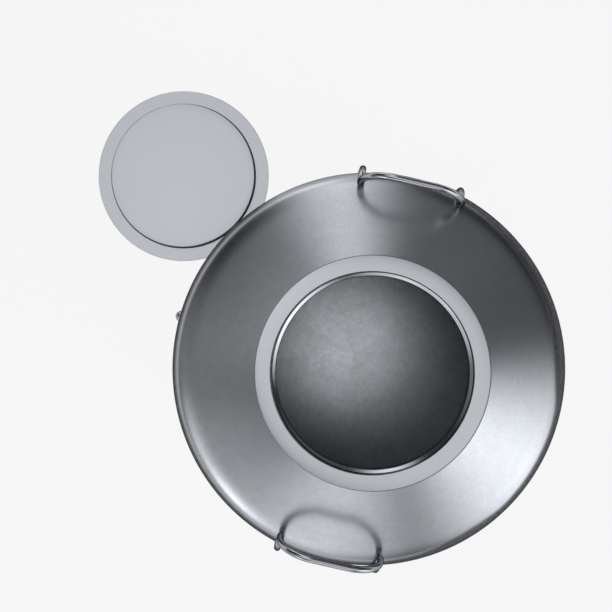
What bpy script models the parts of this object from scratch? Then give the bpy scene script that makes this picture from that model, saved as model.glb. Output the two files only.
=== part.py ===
# Stainless steel olive oil drum with a loose plug lid, two fixed wire handles and a stopcock.
# The drum stands on z = 0 with its axis on Z. The stopcock points along -Y, the handles stand
# at +X and -X, and the lid lies upside down on the floor beside the drum.
import math

import bmesh
import bpy
from mathutils import Matrix, Vector

# Drum body
DRUM_RADIUS = 0.185
DRUM_HEIGHT = 0.350
SHELL_SHEET = 0.0010
JOINT_GAP = 0.0003
SHOULDER_EDGE_RADIUS = 0.016
SHOULDER_SLOPE = math.radians(20.0)
SHOULDER_SKIRT = 0.014
BOTTOM_EDGE_RADIUS = 0.012
BOTTOM_SKIRT = 0.006

# Neck
NECK_BORE = 0.0860
NECK_RISE = 0.0152
NECK_LEDGE_WIDTH = 0.0033
NECK_LEDGE_DEPTH = 0.0060
NECK_LEDGE_DROP = 0.0020
NECK_TAIL = 0.0030
NECK_LIP_WIDTH = 0.0070
FLANGE_WIDTH = 0.0151
FLANGE_SHEET = 0.0015

# Lid
LID_RIM_WIDTH = 0.0155
LID_SHEET = 0.0012
LID_PLUG_CLEARANCE = 0.0004
LID_PLUG_DRAFT = 0.0004
LID_PLUG_HEIGHT = 0.0075
LID_PLUG_EDGE_RADIUS = 0.0028
LID_PLUG_SHEET = 0.0008
LID_SPACING = 0.0135
LID_BEARING = math.radians(236.5)

# Handles
WIRE_DIAMETER = 0.0064
HANDLE_HALF_SPAN = 0.0470
HANDLE_CORNER_RADIUS = 0.0310
HANDLE_LEG = 0.0035
HANDLE_LEAN = math.radians(10.0)
HANDLE_FOOT_LENGTH = 0.050
HANDLE_WRAP = math.radians(68.0)
HANDLE_HEEL_RADIUS = 0.0060

# Stopcock, measured outward from the drum wall
TAP_AXIS_Z = 0.040
SOCKET_RADIUS = 0.0130
SOCKET_BORE = 0.0082
SOCKET_INSIDE = 0.0040
SOCKET_OUTSIDE = 0.0040
SEAL_THICKNESS = 0.0010
TAIL_CLEARANCE = 0.0004
HEX_ACROSS_FLATS = 0.0200
HEX_LENGTH = 0.0045
NECK_TUBE_RADIUS = 0.0060
BARREL_OVERLAP = 0.0001
BARREL_WALL = 0.0020
BARREL_HEIGHT = 0.0230
SPOUT_SPACING = 0.00515
SPOUT_RADIUS = 0.00635
SPOUT_END_RADIUS = 0.0050
SPOUT_DROP = 0.0210
SPOUT_BORE = 0.0030
PLUG_RADIUS = 0.0042
PLUG_CLEARANCE = 0.0003
PLUG_COLLAR_WIDTH = 0.0020
PLUG_COLLAR_HEIGHT = 0.0018
STEM_RADIUS = 0.0030
STEM_HEIGHT = 0.0074
STUB_RADIUS = 0.0019
STUB_LENGTH = 0.0066
ORING_OFFSET = 0.0066
ORING_SECTION = 0.0005
ORING_GROOVE = 0.0013
LEVER_LENGTH = 0.0280
LEVER_BAR_RADIUS = 0.0030
LEVER_HUB_RADIUS = 0.0054
SCREW_RADIUS = 0.0013
SCREW_LENGTH = 0.0050
SCREW_HEAD_RADIUS = 0.0036
SCREW_HEAD_HEIGHT = 0.0016
SCREW_HEAD_CHAMFER = 0.0008
SLOT_WIDTH = 0.0009
SLOT_DEPTH = 0.0007
WASHER_OVERLAP = 0.0009
WASHER_THICKNESS = 0.0008
SPRING_RADIUS = 0.0040
SPRING_THICKNESS = 0.0009
NUT_ACROSS_FLATS = 0.0070
NUT_HEIGHT = 0.0026

# Facets
LARGE_STEPS = 72
SMALL_STEPS = 32
TINY_STEPS = 20
WELD_DISTANCE = 0.00001

for old in list(bpy.data.objects):
    bpy.data.objects.remove(old, do_unlink=True)

parts = bpy.data.collections.new("olive_oil_drum")
cutters = bpy.data.collections.new("drum_cutters")
bpy.context.scene.collection.children.link(parts)
bpy.context.scene.collection.children.link(cutters)


def make_material(name, colour, roughness, metallic):
    material = bpy.data.materials.new(name)
    material.use_nodes = True
    shader = material.node_tree.nodes["Principled BSDF"]
    shader.inputs["Base Color"].default_value = (*colour, 1.0)
    shader.inputs["Roughness"].default_value = roughness
    shader.inputs["Metallic"].default_value = metallic
    return material


satin_steel = make_material("satin_steel", (0.58, 0.59, 0.61), 0.34, 1.0)
flat_steel = make_material("flat_steel", (0.66, 0.67, 0.69), 0.30, 1.0)
wire_steel = make_material("wire_steel", (0.62, 0.63, 0.65), 0.16, 1.0)
plated_brass = make_material("plated_brass", (0.72, 0.72, 0.73), 0.12, 1.0)
small_steel = make_material("small_steel", (0.50, 0.51, 0.53), 0.28, 1.0)
white_seal = make_material("white_seal", (0.86, 0.86, 0.83), 0.55, 0.0)
black_rubber = make_material("black_rubber", (0.03, 0.03, 0.03), 0.60, 0.0)


def add_object(name, data, material=None, collection=None):
    obj = bpy.data.objects.new(name, data)
    (collection or parts).objects.link(obj)
    if material:
        data.materials.append(material)
    return obj


def add_cutter(name, data):
    obj = add_object(name, data, collection=cutters)
    obj.hide_render = True
    obj.display_type = "WIRE"
    return obj


def arc_points(centre, radius, start, end, count):
    # Points of an arc in the plane of radius and height, both ends included.
    angles = [start + (end - start) * i / count for i in range(count + 1)]
    return [(centre[0] + radius * math.cos(a), centre[1] + radius * math.sin(a)) for a in angles]


def profile_mesh(name, profile, closed):
    # The profile lies at +X; a turned outside runs from its top to its bottom.
    mesh = bpy.data.meshes.new(name)
    edges = [(i, i + 1) for i in range(len(profile) - 1)]
    if closed:
        edges.append((len(profile) - 1, 0))
    mesh.from_pydata([(radius, 0.0, height) for radius, height in profile], edges, [])
    return mesh


def turn(obj, steps):
    screw = obj.modifiers.new("Turn", "SCREW")
    screw.steps = steps
    screw.render_steps = steps
    screw.use_merge_vertices = True
    screw.merge_threshold = WELD_DISTANCE
    screw.use_smooth_shade = True
    return obj


def turned(name, profile, material, steps, closed=True, sheet=None):
    obj = turn(add_object(name, profile_mesh(name, profile, closed), material), steps)
    if sheet:
        shell = obj.modifiers.new("Sheet", "SOLIDIFY")
        shell.thickness = sheet
        shell.offset = -1.0
        shell.use_even_offset = True
    return obj


def turned_cutter(name, profile, steps):
    return turn(add_cutter(name, profile_mesh(name, profile, False)), steps)


def ring_profile(inner, outer, low, high):
    return [(outer, high), (outer, low), (inner, low), (inner, high)]


def rod_profile(radius, low, high):
    return [(0.0, high), (radius, high), (radius, low), (0.0, low)]


def prism_mesh(name, across_flats, height):
    # A hexagonal prism about Z, centred on its own middle.
    mesh = bpy.data.meshes.new(name)
    shape = bmesh.new()
    corner = across_flats / 2 / math.cos(math.pi / 6)
    bmesh.ops.create_cone(shape, cap_ends=True, segments=6, radius1=corner, radius2=corner, depth=height)
    shape.to_mesh(mesh)
    shape.free()
    return mesh


def box_mesh(name, size):
    mesh = bpy.data.meshes.new(name)
    shape = bmesh.new()
    bmesh.ops.create_cube(shape, size=1.0, matrix=Matrix.Diagonal((*size, 1.0)))
    shape.to_mesh(mesh)
    shape.free()
    return mesh


def combine(target, tool, operation):
    boolean = target.modifiers.new(tool.name, "BOOLEAN")
    boolean.object = tool
    boolean.operation = operation
    boolean.solver = "EXACT"


# Drum body: a rolled wall between two pressed ends, each with a short skirt
collar_radius = NECK_BORE + SHELL_SHEET
shoulder_hole = collar_radius + JOINT_GAP
edge_radius = DRUM_RADIUS - SHOULDER_EDGE_RADIUS
cone_foot = edge_radius + SHOULDER_EDGE_RADIUS * math.sin(SHOULDER_SLOPE)
cone_rise = (cone_foot - shoulder_hole) * math.tan(SHOULDER_SLOPE)
cone_foot_z = DRUM_HEIGHT - NECK_RISE - cone_rise
shoulder_edge_z = cone_foot_z - SHOULDER_EDGE_RADIUS * math.cos(SHOULDER_SLOPE)
bottom_seam = BOTTOM_EDGE_RADIUS + BOTTOM_SKIRT
top_seam = shoulder_edge_z - SHOULDER_SKIRT


def cone_height(radius):
    # Height of the shoulder's outer face at a radius on its cone.
    return cone_foot_z + (cone_foot - radius) * math.tan(SHOULDER_SLOPE)


def make_body_wall():
    low, high = bottom_seam + JOINT_GAP, top_seam - JOINT_GAP
    profile = ring_profile(DRUM_RADIUS - SHELL_SHEET, DRUM_RADIUS, low, high)
    wall = turned("body_wall", profile, satin_steel, LARGE_STEPS)
    hole = rod_profile(SOCKET_RADIUS + JOINT_GAP, -SOCKET_RADIUS, SOCKET_RADIUS)
    cut = turned_cutter("wall_hole", hole, SMALL_STEPS)
    cut.location = (0.0, -DRUM_RADIUS, TAP_AXIS_Z)
    cut.rotation_euler = (math.pi / 2, 0.0, 0.0)
    combine(wall, cut, "DIFFERENCE")


def make_bottom_pan():
    centre = (DRUM_RADIUS - BOTTOM_EDGE_RADIUS, BOTTOM_EDGE_RADIUS)
    profile = [(DRUM_RADIUS, bottom_seam)]
    profile += arc_points(centre, BOTTOM_EDGE_RADIUS, 0.0, -math.pi / 2, 5)
    profile.append((0.0, 0.0))
    turned("bottom_pan", profile, satin_steel, LARGE_STEPS, closed=False, sheet=SHELL_SHEET)


def make_shoulder():
    # The sheet goes on square to the slope, so its lower rim comes in by the slope's share.
    rim = shoulder_hole + SHELL_SHEET * math.sin(SHOULDER_SLOPE)
    profile = [(rim, cone_height(rim))]
    profile += arc_points((edge_radius, shoulder_edge_z), SHOULDER_EDGE_RADIUS,
                          math.pi / 2 - SHOULDER_SLOPE, 0.0, 6)
    profile.append((DRUM_RADIUS, top_seam))
    turned("shoulder", profile, satin_steel, LARGE_STEPS, closed=False, sheet=SHELL_SHEET)


# Neck: a pressed collar with a ledge for the lid's plug, and a flat ring on its lip
counterbore = NECK_BORE + NECK_LEDGE_WIDTH
lip_top = DRUM_HEIGHT - FLANGE_SHEET - JOINT_GAP
ledge_top = DRUM_HEIGHT - NECK_LEDGE_DEPTH
ledge_foot = ledge_top - NECK_LEDGE_DROP


def make_neck():
    outer_bore = counterbore + SHELL_SHEET
    tail_end = cone_height(shoulder_hole) - SHELL_SHEET - NECK_TAIL
    ledge_slope = math.atan2(NECK_LEDGE_DROP, NECK_LEDGE_WIDTH)
    shift = SHELL_SHEET * math.tan(math.pi / 4 - ledge_slope / 2)
    profile = [
        (outer_bore + NECK_LIP_WIDTH, lip_top),
        (outer_bore + NECK_LIP_WIDTH, lip_top - SHELL_SHEET),
        (outer_bore, lip_top - SHELL_SHEET),
        (outer_bore, ledge_top - shift),
        (collar_radius, ledge_foot - shift),
        (collar_radius, tail_end),
        (NECK_BORE, tail_end),
        (NECK_BORE, ledge_foot),
        (counterbore, ledge_top),
        (counterbore, lip_top),
    ]
    turned("neck_collar", profile, satin_steel, LARGE_STEPS)
    profile = ring_profile(counterbore, counterbore + FLANGE_WIDTH, DRUM_HEIGHT - FLANGE_SHEET, DRUM_HEIGHT)
    turned("neck_flange", profile, flat_steel, LARGE_STEPS)


# Handles: one bent wire a side, up the wall, over the rounded edge and round a leaning grip
wire_radius = WIRE_DIAMETER / 2
wire_track = DRUM_RADIUS + JOINT_GAP + wire_radius


def handle_half():
    # Points of one foot and half the grip, as outward distance, sideways distance and height.
    side = HANDLE_HALF_SPAN
    outer = math.sqrt(wire_track ** 2 - side ** 2)
    wrap_radius = SHOULDER_EDGE_RADIUS + JOINT_GAP + wire_radius
    wrap_centre = outer - wrap_radius
    foot = shoulder_edge_z - HANDLE_FOOT_LENGTH
    flat = [(outer, foot), (outer, (foot + shoulder_edge_z) / 2)]
    flat += arc_points((wrap_centre, shoulder_edge_z), wrap_radius, 0.0, HANDLE_WRAP, 6)
    heel_reach = wrap_radius + HANDLE_HEEL_RADIUS
    heel = (wrap_centre + heel_reach * math.cos(HANDLE_WRAP),
            shoulder_edge_z + heel_reach * math.sin(HANDLE_WRAP))
    flat += arc_points(heel, HANDLE_HEEL_RADIUS, HANDLE_WRAP - math.pi, -math.pi - HANDLE_LEAN, 6)[1:]
    base = flat[-1]
    points = [(out, side, height) for out, height in flat]
    for i in range(9):
        turn_angle = math.pi / 2 * i / 8
        rise = HANDLE_LEG + HANDLE_CORNER_RADIUS * math.sin(turn_angle)
        inward = HANDLE_CORNER_RADIUS * (1 - math.cos(turn_angle))
        points.append((base[0] + rise * math.sin(HANDLE_LEAN), side - inward,
                       base[1] + rise * math.cos(HANDLE_LEAN)))
    return points


def make_handle(name, direction):
    half = handle_half()
    points = half + [(out, -side, height) for out, side, height in reversed(half)]
    curve = bpy.data.curves.new(name, "CURVE")
    curve.dimensions = "3D"
    curve.bevel_depth = wire_radius
    curve.bevel_resolution = 2
    curve.use_fill_caps = True
    spline = curve.splines.new("POLY")
    spline.points.add(len(points) - 1)
    for point, (out, side, height) in zip(spline.points, points):
        point.co = (out * direction, side * direction, height, 1.0)
    add_object(name, curve, wire_steel)


# Stopcock: positions along Y from the reach out of the wall, so the wall's face is reach 0
def reach_y(reach):
    return -(DRUM_RADIUS + reach)


def lay_outward(obj, reach):
    # Turns an object's own +Z to point out of the drum, with its origin at the reach.
    obj.location = (0.0, reach_y(reach), TAP_AXIS_Z)
    obj.rotation_euler = (math.pi / 2, 0.0, 0.0)
    return obj


seal_start = SOCKET_OUTSIDE + JOINT_GAP
hex_start = seal_start + SEAL_THICKNESS + JOINT_GAP
tail_radius = SOCKET_BORE - TAIL_CLEARANCE
plug_bore = PLUG_RADIUS + PLUG_CLEARANCE
barrel_radius = plug_bore + BARREL_WALL
barrel_reach = hex_start + HEX_LENGTH + barrel_radius - BARREL_OVERLAP
barrel_top = TAP_AXIS_Z + BARREL_HEIGHT / 2
barrel_foot = TAP_AXIS_Z - BARREL_HEIGHT / 2
spout_reach = barrel_reach + barrel_radius + SPOUT_SPACING
collar_foot = barrel_top + JOINT_GAP
stem_foot = collar_foot + PLUG_COLLAR_HEIGHT
stem_top = stem_foot + STEM_HEIGHT


def make_socket_and_seal():
    socket = turned("tap_socket", ring_profile(SOCKET_BORE, SOCKET_RADIUS, -SOCKET_INSIDE, SOCKET_OUTSIDE),
                    satin_steel, SMALL_STEPS)
    lay_outward(socket, 0.0)
    seal = turned("tap_seal", ring_profile(SOCKET_BORE, SOCKET_RADIUS - 2 * JOINT_GAP, 0.0, SEAL_THICKNESS),
                  white_seal, SMALL_STEPS)
    lay_outward(seal, seal_start)


def make_tap_body():
    profile = [(0.0, spout_reach), (NECK_TUBE_RADIUS, spout_reach),
               (NECK_TUBE_RADIUS, hex_start + HEX_LENGTH / 2),
               (tail_radius, hex_start + HEX_LENGTH / 2),
               (tail_radius, -SOCKET_INSIDE / 2), (0.0, -SOCKET_INSIDE / 2)]
    body = lay_outward(turned("tap_body", profile, plated_brass, SMALL_STEPS, closed=False), 0.0)
    nut = lay_outward(add_cutter("tap_hexagon", prism_mesh("tap_hexagon", HEX_ACROSS_FLATS, HEX_LENGTH)),
                      hex_start + HEX_LENGTH / 2)
    barrel = turned_cutter("tap_barrel", rod_profile(barrel_radius, barrel_foot, barrel_top), SMALL_STEPS)
    barrel.location.y = reach_y(barrel_reach)
    spout_profile = [(0.0, SPOUT_RADIUS)]
    spout_profile += arc_points((0.0, 0.0), SPOUT_RADIUS, math.pi / 2, 0.0, 6)[1:]
    spout_profile += [(SPOUT_END_RADIUS, -SPOUT_DROP), (0.0, -SPOUT_DROP)]
    spout = turned_cutter("tap_spout", spout_profile, 24)
    spout.location = (0.0, reach_y(spout_reach), TAP_AXIS_Z)
    for tool in (nut, barrel, spout):
        combine(body, tool, "UNION")

    past = SPOUT_BORE / 3
    channel = rod_profile(SPOUT_BORE, -2 * SOCKET_INSIDE, spout_reach + past)
    way = lay_outward(turned_cutter("tap_waterway", channel, TINY_STEPS), 0.0)
    drop = turned_cutter("tap_outlet", rod_profile(SPOUT_BORE, -2 * SPOUT_DROP, past), TINY_STEPS)
    drop.location = spout.location
    seat = turned_cutter("tap_plug_bore", rod_profile(plug_bore, -BARREL_HEIGHT, BARREL_HEIGHT), SMALL_STEPS)
    seat.location = (0.0, reach_y(barrel_reach), TAP_AXIS_Z)
    for tool in (drop, seat):
        combine(way, tool, "UNION")
    combine(body, way, "DIFFERENCE")


def place_on_key(obj):
    obj.parent = key_axis
    return obj


def make_plug():
    groove_root = PLUG_RADIUS - ORING_GROOVE
    groove_half = ORING_SECTION + JOINT_GAP
    collar_edge = PLUG_RADIUS + PLUG_COLLAR_WIDTH
    upper, lower = TAP_AXIS_Z + ORING_OFFSET, TAP_AXIS_Z - ORING_OFFSET
    profile = [(0.0, stem_top), (STEM_RADIUS, stem_top), (STEM_RADIUS, stem_foot),
               (collar_edge, stem_foot), (collar_edge, collar_foot), (PLUG_RADIUS, collar_foot)]
    for height in (upper, lower):
        profile += [(PLUG_RADIUS, height + groove_half), (groove_root, height + groove_half),
                    (groove_root, height - groove_half), (PLUG_RADIUS, height - groove_half)]
    profile += [(PLUG_RADIUS, barrel_foot + JOINT_GAP), (STUB_RADIUS, barrel_foot + JOINT_GAP),
                (STUB_RADIUS, barrel_foot - STUB_LENGTH), (0.0, barrel_foot - STUB_LENGTH)]
    plug = place_on_key(turned("tap_plug", profile, small_steel, TINY_STEPS, closed=False))
    port = turned_cutter("plug_port", rod_profile(SPOUT_BORE, -3 * PLUG_RADIUS, 3 * PLUG_RADIUS), 16)
    port.location = (0.0, reach_y(barrel_reach), TAP_AXIS_Z)
    port.rotation_euler = (0.0, math.pi / 2, 0.0)
    shaft = rod_profile(SCREW_RADIUS + JOINT_GAP, -SCREW_LENGTH - JOINT_GAP, SCREW_LENGTH)
    hole = turned_cutter("screw_hole", shaft, 16)
    hole.location = (0.0, reach_y(barrel_reach), stem_top)
    for tool in (port, hole):
        combine(plug, tool, "DIFFERENCE")
    ring_radius = groove_root + JOINT_GAP + ORING_SECTION
    for name, height in (("tap_oring_upper", upper), ("tap_oring_lower", lower)):
        section = arc_points((ring_radius, height), ORING_SECTION, math.pi / 2, -3 * math.pi / 2, 8)[:-1]
        place_on_key(turned(name, section, black_rubber, TINY_STEPS))


def make_lever():
    hub_foot = stem_foot + JOINT_GAP
    hub_top = stem_top - JOINT_GAP
    half_bar = LEVER_LENGTH / 2 - LEVER_BAR_RADIUS
    profile = arc_points((0.0, half_bar), LEVER_BAR_RADIUS, math.pi / 2, 0.0, 5)
    profile += arc_points((0.0, -half_bar), LEVER_BAR_RADIUS, 0.0, -math.pi / 2, 5)
    profile[0] = (0.0, LEVER_LENGTH / 2)
    profile[-1] = (0.0, -LEVER_LENGTH / 2)
    lever = place_on_key(turned("tap_lever", profile, plated_brass, TINY_STEPS, closed=False))
    lever.location.z = (hub_foot + hub_top) / 2
    lever.rotation_euler = (0.0, math.pi / 2, 0.0)
    hub = turned_cutter("lever_hub", rod_profile(LEVER_HUB_RADIUS, hub_foot, hub_top), 24)
    hub.location.y = reach_y(barrel_reach)
    bore = turned_cutter("lever_bore", rod_profile(STEM_RADIUS + JOINT_GAP, stem_foot, stem_top), 24)
    bore.location.y = reach_y(barrel_reach)
    combine(lever, hub, "UNION")
    combine(lever, bore, "DIFFERENCE")

    head_foot = stem_top + JOINT_GAP
    head_top = head_foot + SCREW_HEAD_HEIGHT
    profile = [(0.0, head_top), (SCREW_HEAD_RADIUS - SCREW_HEAD_CHAMFER, head_top),
               (SCREW_HEAD_RADIUS, head_top - SCREW_HEAD_CHAMFER),
               (SCREW_HEAD_RADIUS, head_foot), (SCREW_RADIUS, head_foot),
               (SCREW_RADIUS, stem_top - SCREW_LENGTH), (0.0, stem_top - SCREW_LENGTH)]
    screw = place_on_key(turned("tap_lever_screw", profile, small_steel, TINY_STEPS, closed=False))
    slot_size = (4 * SCREW_HEAD_RADIUS, SLOT_WIDTH, 2 * SLOT_DEPTH)
    slot = add_cutter("screw_slot", box_mesh("screw_slot", slot_size))
    slot.location = (0.0, reach_y(barrel_reach), head_top)
    combine(screw, slot, "DIFFERENCE")


def make_plug_fastening():
    hole = STUB_RADIUS + JOINT_GAP
    washer_top = barrel_foot - JOINT_GAP
    spring_top = washer_top - WASHER_THICKNESS - JOINT_GAP
    nut_top = spring_top - SPRING_THICKNESS - JOINT_GAP
    washer_profile = ring_profile(hole, plug_bore + WASHER_OVERLAP, washer_top - WASHER_THICKNESS, washer_top)
    place_on_key(turned("tap_plug_washer", washer_profile, small_steel, TINY_STEPS))
    spring_profile = ring_profile(hole, SPRING_RADIUS, spring_top - SPRING_THICKNESS, spring_top)
    spring = place_on_key(turned("tap_spring_washer", spring_profile, small_steel, TINY_STEPS))
    split_size = (2 * SPRING_RADIUS, SLOT_WIDTH, SPRING_RADIUS)
    split = add_cutter("spring_split", box_mesh("spring_split", split_size))
    split.location = (SPRING_RADIUS, reach_y(barrel_reach), spring_top)
    combine(spring, split, "DIFFERENCE")
    nut = place_on_key(add_object("tap_plug_nut", prism_mesh("tap_plug_nut", NUT_ACROSS_FLATS, NUT_HEIGHT),
                                  small_steel))
    nut.location.z = nut_top - NUT_HEIGHT / 2
    bore = turned_cutter("nut_bore", rod_profile(hole, -NUT_HEIGHT, NUT_HEIGHT), TINY_STEPS)
    bore.location = (0.0, reach_y(barrel_reach), nut.location.z)
    combine(nut, bore, "DIFFERENCE")


# Lid: a flat cover and a shallow plug, lying with the plug upward
plug_base = counterbore - LID_PLUG_CLEARANCE
lid_radius = plug_base + LID_RIM_WIDTH


def make_lid():
    disc = rod_profile(lid_radius, 0.0, LID_SHEET)
    cover = turned("lid_plate", disc, flat_steel, LARGE_STEPS, closed=False)
    cover.parent = lid_lift
    foot = LID_SHEET + JOINT_GAP
    top = foot + LID_PLUG_HEIGHT
    wall_radius = plug_base - LID_PLUG_DRAFT
    centre = (wall_radius - LID_PLUG_EDGE_RADIUS, top - LID_PLUG_EDGE_RADIUS)
    profile = [(0.0, top)]
    profile += arc_points(centre, LID_PLUG_EDGE_RADIUS, math.pi / 2, 0.0, 4)
    profile.append((plug_base, foot))
    plug = turned("lid_plug", profile, flat_steel, LARGE_STEPS, closed=False, sheet=LID_PLUG_SHEET)
    plug.parent = lid_lift


key_axis = add_object("tap_key_axis", None)
key_axis.location = (0.0, reach_y(barrel_reach), 0.0)
lid_lift = add_object("lid_lift_axis", None)
lid_distance = DRUM_RADIUS + LID_SPACING + lid_radius
lid_lift.location = Vector((math.cos(LID_BEARING), math.sin(LID_BEARING), 0.0)) * lid_distance

make_body_wall()
make_bottom_pan()
make_shoulder()
make_neck()
make_handle("handle_right", 1.0)
make_handle("handle_left", -1.0)
make_socket_and_seal()
make_tap_body()
make_plug()
make_lever()
make_plug_fastening()
make_lid()
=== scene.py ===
import math

import bmesh
import bpy
import numpy as np
from mathutils import Matrix, Vector


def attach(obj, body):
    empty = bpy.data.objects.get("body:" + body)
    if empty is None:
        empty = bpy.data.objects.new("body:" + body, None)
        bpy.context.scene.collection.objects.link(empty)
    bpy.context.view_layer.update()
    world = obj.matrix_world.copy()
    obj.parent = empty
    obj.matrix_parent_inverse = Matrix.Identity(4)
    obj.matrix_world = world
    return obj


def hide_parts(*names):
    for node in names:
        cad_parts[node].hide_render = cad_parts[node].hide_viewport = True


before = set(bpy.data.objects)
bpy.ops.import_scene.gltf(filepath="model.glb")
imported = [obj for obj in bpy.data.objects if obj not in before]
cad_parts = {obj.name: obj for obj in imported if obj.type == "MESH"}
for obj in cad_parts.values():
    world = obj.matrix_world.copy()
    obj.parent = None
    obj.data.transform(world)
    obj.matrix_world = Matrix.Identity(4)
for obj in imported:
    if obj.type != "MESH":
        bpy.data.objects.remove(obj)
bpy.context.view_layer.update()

# The olive oil drum seen from above: satin steel drum, loose lid, wire handles and small stopcock.
# Every length is in metres, in the frame's own axes.

# Sizes that several pieces share
drum = {
    "radius": 0.185,
    "height": 0.350,
    "sheet": 0.0010,
    "seamGap": 0.0003,
    "edgeRadius": 0.016,
    "slope": math.radians(20.0),
    "shoulderSkirt": 0.014,
    "bottomEdge": 0.012,
    "bottomSkirt": 0.006,
    "neckBore": 0.086,
    "neckRise": 0.0152,
    "ledgeWidth": 0.0033,
    "ledgeDepth": 0.006,
    "ledgeDrop": 0.002,
    "flangeWidth": 0.0151,
    "flangeSheet": 0.0015,
    "flangeFall": 0.00055,
    "bendStart": 0.156,
    "bendPower": 3.1,
    "tapHole": 0.0133,
    "tapHeight": 0.040,
}
collarRadius = drum["neckBore"] + drum["sheet"]
shoulderHole = collarRadius + drum["seamGap"]
coneFoot = drum["radius"] - drum["edgeRadius"] + drum["edgeRadius"] * math.sin(drum["slope"])
coneFootZ = drum["height"] - drum["neckRise"] - (coneFoot - shoulderHole) * math.tan(drum["slope"])
edgeZ = coneFootZ - drum["edgeRadius"] * math.cos(drum["slope"])
bottomSeam = drum["bottomEdge"] + drum["bottomSkirt"]
topSeam = edgeZ - drum["shoulderSkirt"]
counterbore = drum["neckBore"] + drum["ledgeWidth"]
ringSteps = 288


def coneHeight(radius):
    # The shoulder's cone: it rises inward by the tangent of its slope.
    return coneFootZ + (coneFoot - radius) * math.tan(drum["slope"])


# Surfaces worked out as arrays

def unit(vectors):
    # Each vector divided by its own length.
    return vectors / np.linalg.norm(vectors, axis=-1, keepdims=True)


def roundedOutline(points, radii, closed=True, arcSteps=6, guard=0.00025):
    # Each corner becomes an arc tangent to its two sides: its ends lie radius / tan(half angle) away from
    # the corner, and the arc turns between them about the point where both offsets meet. A guard point
    # on each side keeps the shading of the flat beside it flat.
    corners = np.asarray(points, float)
    radii = np.broadcast_to(np.asarray(radii, float), len(corners)).copy()
    if not closed:
        radii[[0, -1]] = 0.0
    toPrev = np.roll(corners, 1, 0) - corners
    toNext = np.roll(corners, -1, 0) - corners
    prevLength = np.linalg.norm(toPrev, axis=1)
    nextLength = np.linalg.norm(toNext, axis=1)
    back, ahead = unit(toPrev), unit(toNext)
    half = np.arccos(np.clip((back * ahead).sum(1), -1.0, 1.0)) / 2
    half = np.clip(half, 1e-3, math.pi / 2 - 1e-4)
    reach = radii / np.tan(half)
    turn = math.pi - 2 * half
    bisector = back + ahead
    bisector = bisector / np.maximum(np.linalg.norm(bisector, axis=1, keepdims=True), 1e-9)
    centre = corners + bisector * (radii / np.sin(half))[:, None]
    start = corners + back * reach[:, None] - centre
    end = corners + ahead * reach[:, None] - centre
    share = np.linspace(0.0, 1.0, arcSteps + 1)
    first = np.sin(np.outer(turn, 1 - share)) / np.sin(turn)[:, None]
    last = np.sin(np.outer(turn, share)) / np.sin(turn)[:, None]
    arc = centre[:, None, :] + first[..., None] * start[:, None, :] + last[..., None] * end[:, None, :]
    guardBefore = np.minimum(guard, 0.3 * np.maximum(prevLength - reach, 0.0)) + reach
    guardAfter = np.minimum(guard, 0.3 * np.maximum(nextLength - reach, 0.0)) + reach
    before = corners + back * guardBefore[:, None]
    after = corners + ahead * guardAfter[:, None]
    rows = np.concatenate([before[:, None, :], arc, after[:, None, :]], axis=1)
    if not closed:
        body = rows[1:-1].reshape(-1, 2)
        out = np.vstack([corners[:1], body, corners[-1:]])
    else:
        out = rows.reshape(-1, 2)
    keep = np.linalg.norm(np.diff(out, axis=0), axis=1) > 1e-7
    return out[np.concatenate([[True], keep])]


def insetLine(path, thickness):
    # A second line beside the path: every point moves by the thickness, square to the line's run.
    along = np.gradient(path, axis=0)
    inward = unit(np.stack([along[:, 1], -along[:, 0]], -1))
    return path + inward * thickness


def gridFaces(index, closedRows):
    # Quads between neighbouring rings, and triangles where a ring has shrunk to one point.
    upper, lower = index[:-1], index[1:]
    if closedRows:
        upper, lower = index, np.roll(index, -1, 0)
    quads = np.stack([upper, lower, np.roll(lower, -1, 1), np.roll(upper, -1, 1)], -1).reshape(-1, 4)
    topPole = quads[:, 0] == quads[:, 3]
    footPole = quads[:, 1] == quads[:, 2]
    plain = quads[~topPole & ~footPole].tolist()
    fromTop = quads[topPole & ~footPole][:, [0, 1, 2]].tolist()
    toFoot = quads[footPole & ~topPole][:, [0, 1, 3]].tolist()
    return plain + fromTop + toFoot


def ringMesh(name, rings, closedRows):
    # rings holds one closed ring of points per row; a ring of one repeated point becomes a pole. The
    # signed volume under the faces tells whether they point outward.
    rings = np.asarray(rings, float)
    rows, columns = rings.shape[:2]
    pole = np.ptp(rings, axis=1).max(axis=1) < 1e-7
    counts = np.where(pole, 1, columns)
    offsets = np.concatenate([[0], np.cumsum(counts)[:-1]])
    spread = np.where(pole[:, None], 0, np.arange(columns)[None, :])
    index = offsets[:, None] + spread
    taken = np.ones((rows, columns), bool)
    taken[pole, 1:] = False
    points = rings[taken]
    faces = gridFaces(index, closedRows)
    mesh = bpy.data.meshes.new(name)
    mesh.from_pydata(points.tolist(), [], faces)
    mesh.calc_loop_triangles()
    corners = np.zeros(len(mesh.loop_triangles) * 3, np.int32)
    mesh.loop_triangles.foreach_get("vertices", corners)
    corner = points[corners.reshape(-1, 3)]
    volume = np.einsum("ij,ij->i", corner[:, 0], np.cross(corner[:, 1], corner[:, 2])).sum()
    if volume < 0:
        mesh.flip_normals()
    mesh.polygons.foreach_set("use_smooth", np.ones(len(mesh.polygons), bool))
    return mesh


def turnedMesh(name, outline, steps, closed=True):
    # A profile of (radius, height) points carried once round the Z axis.
    outline = np.asarray(outline, float)
    angle = np.linspace(0.0, 2 * math.pi, steps, endpoint=False)
    rings = np.stack([outline[:, :1] * np.cos(angle), outline[:, :1] * np.sin(angle),
                      np.repeat(outline[:, 1:], steps, axis=1)], -1)
    return ringMesh(name, rings, closed)


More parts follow.
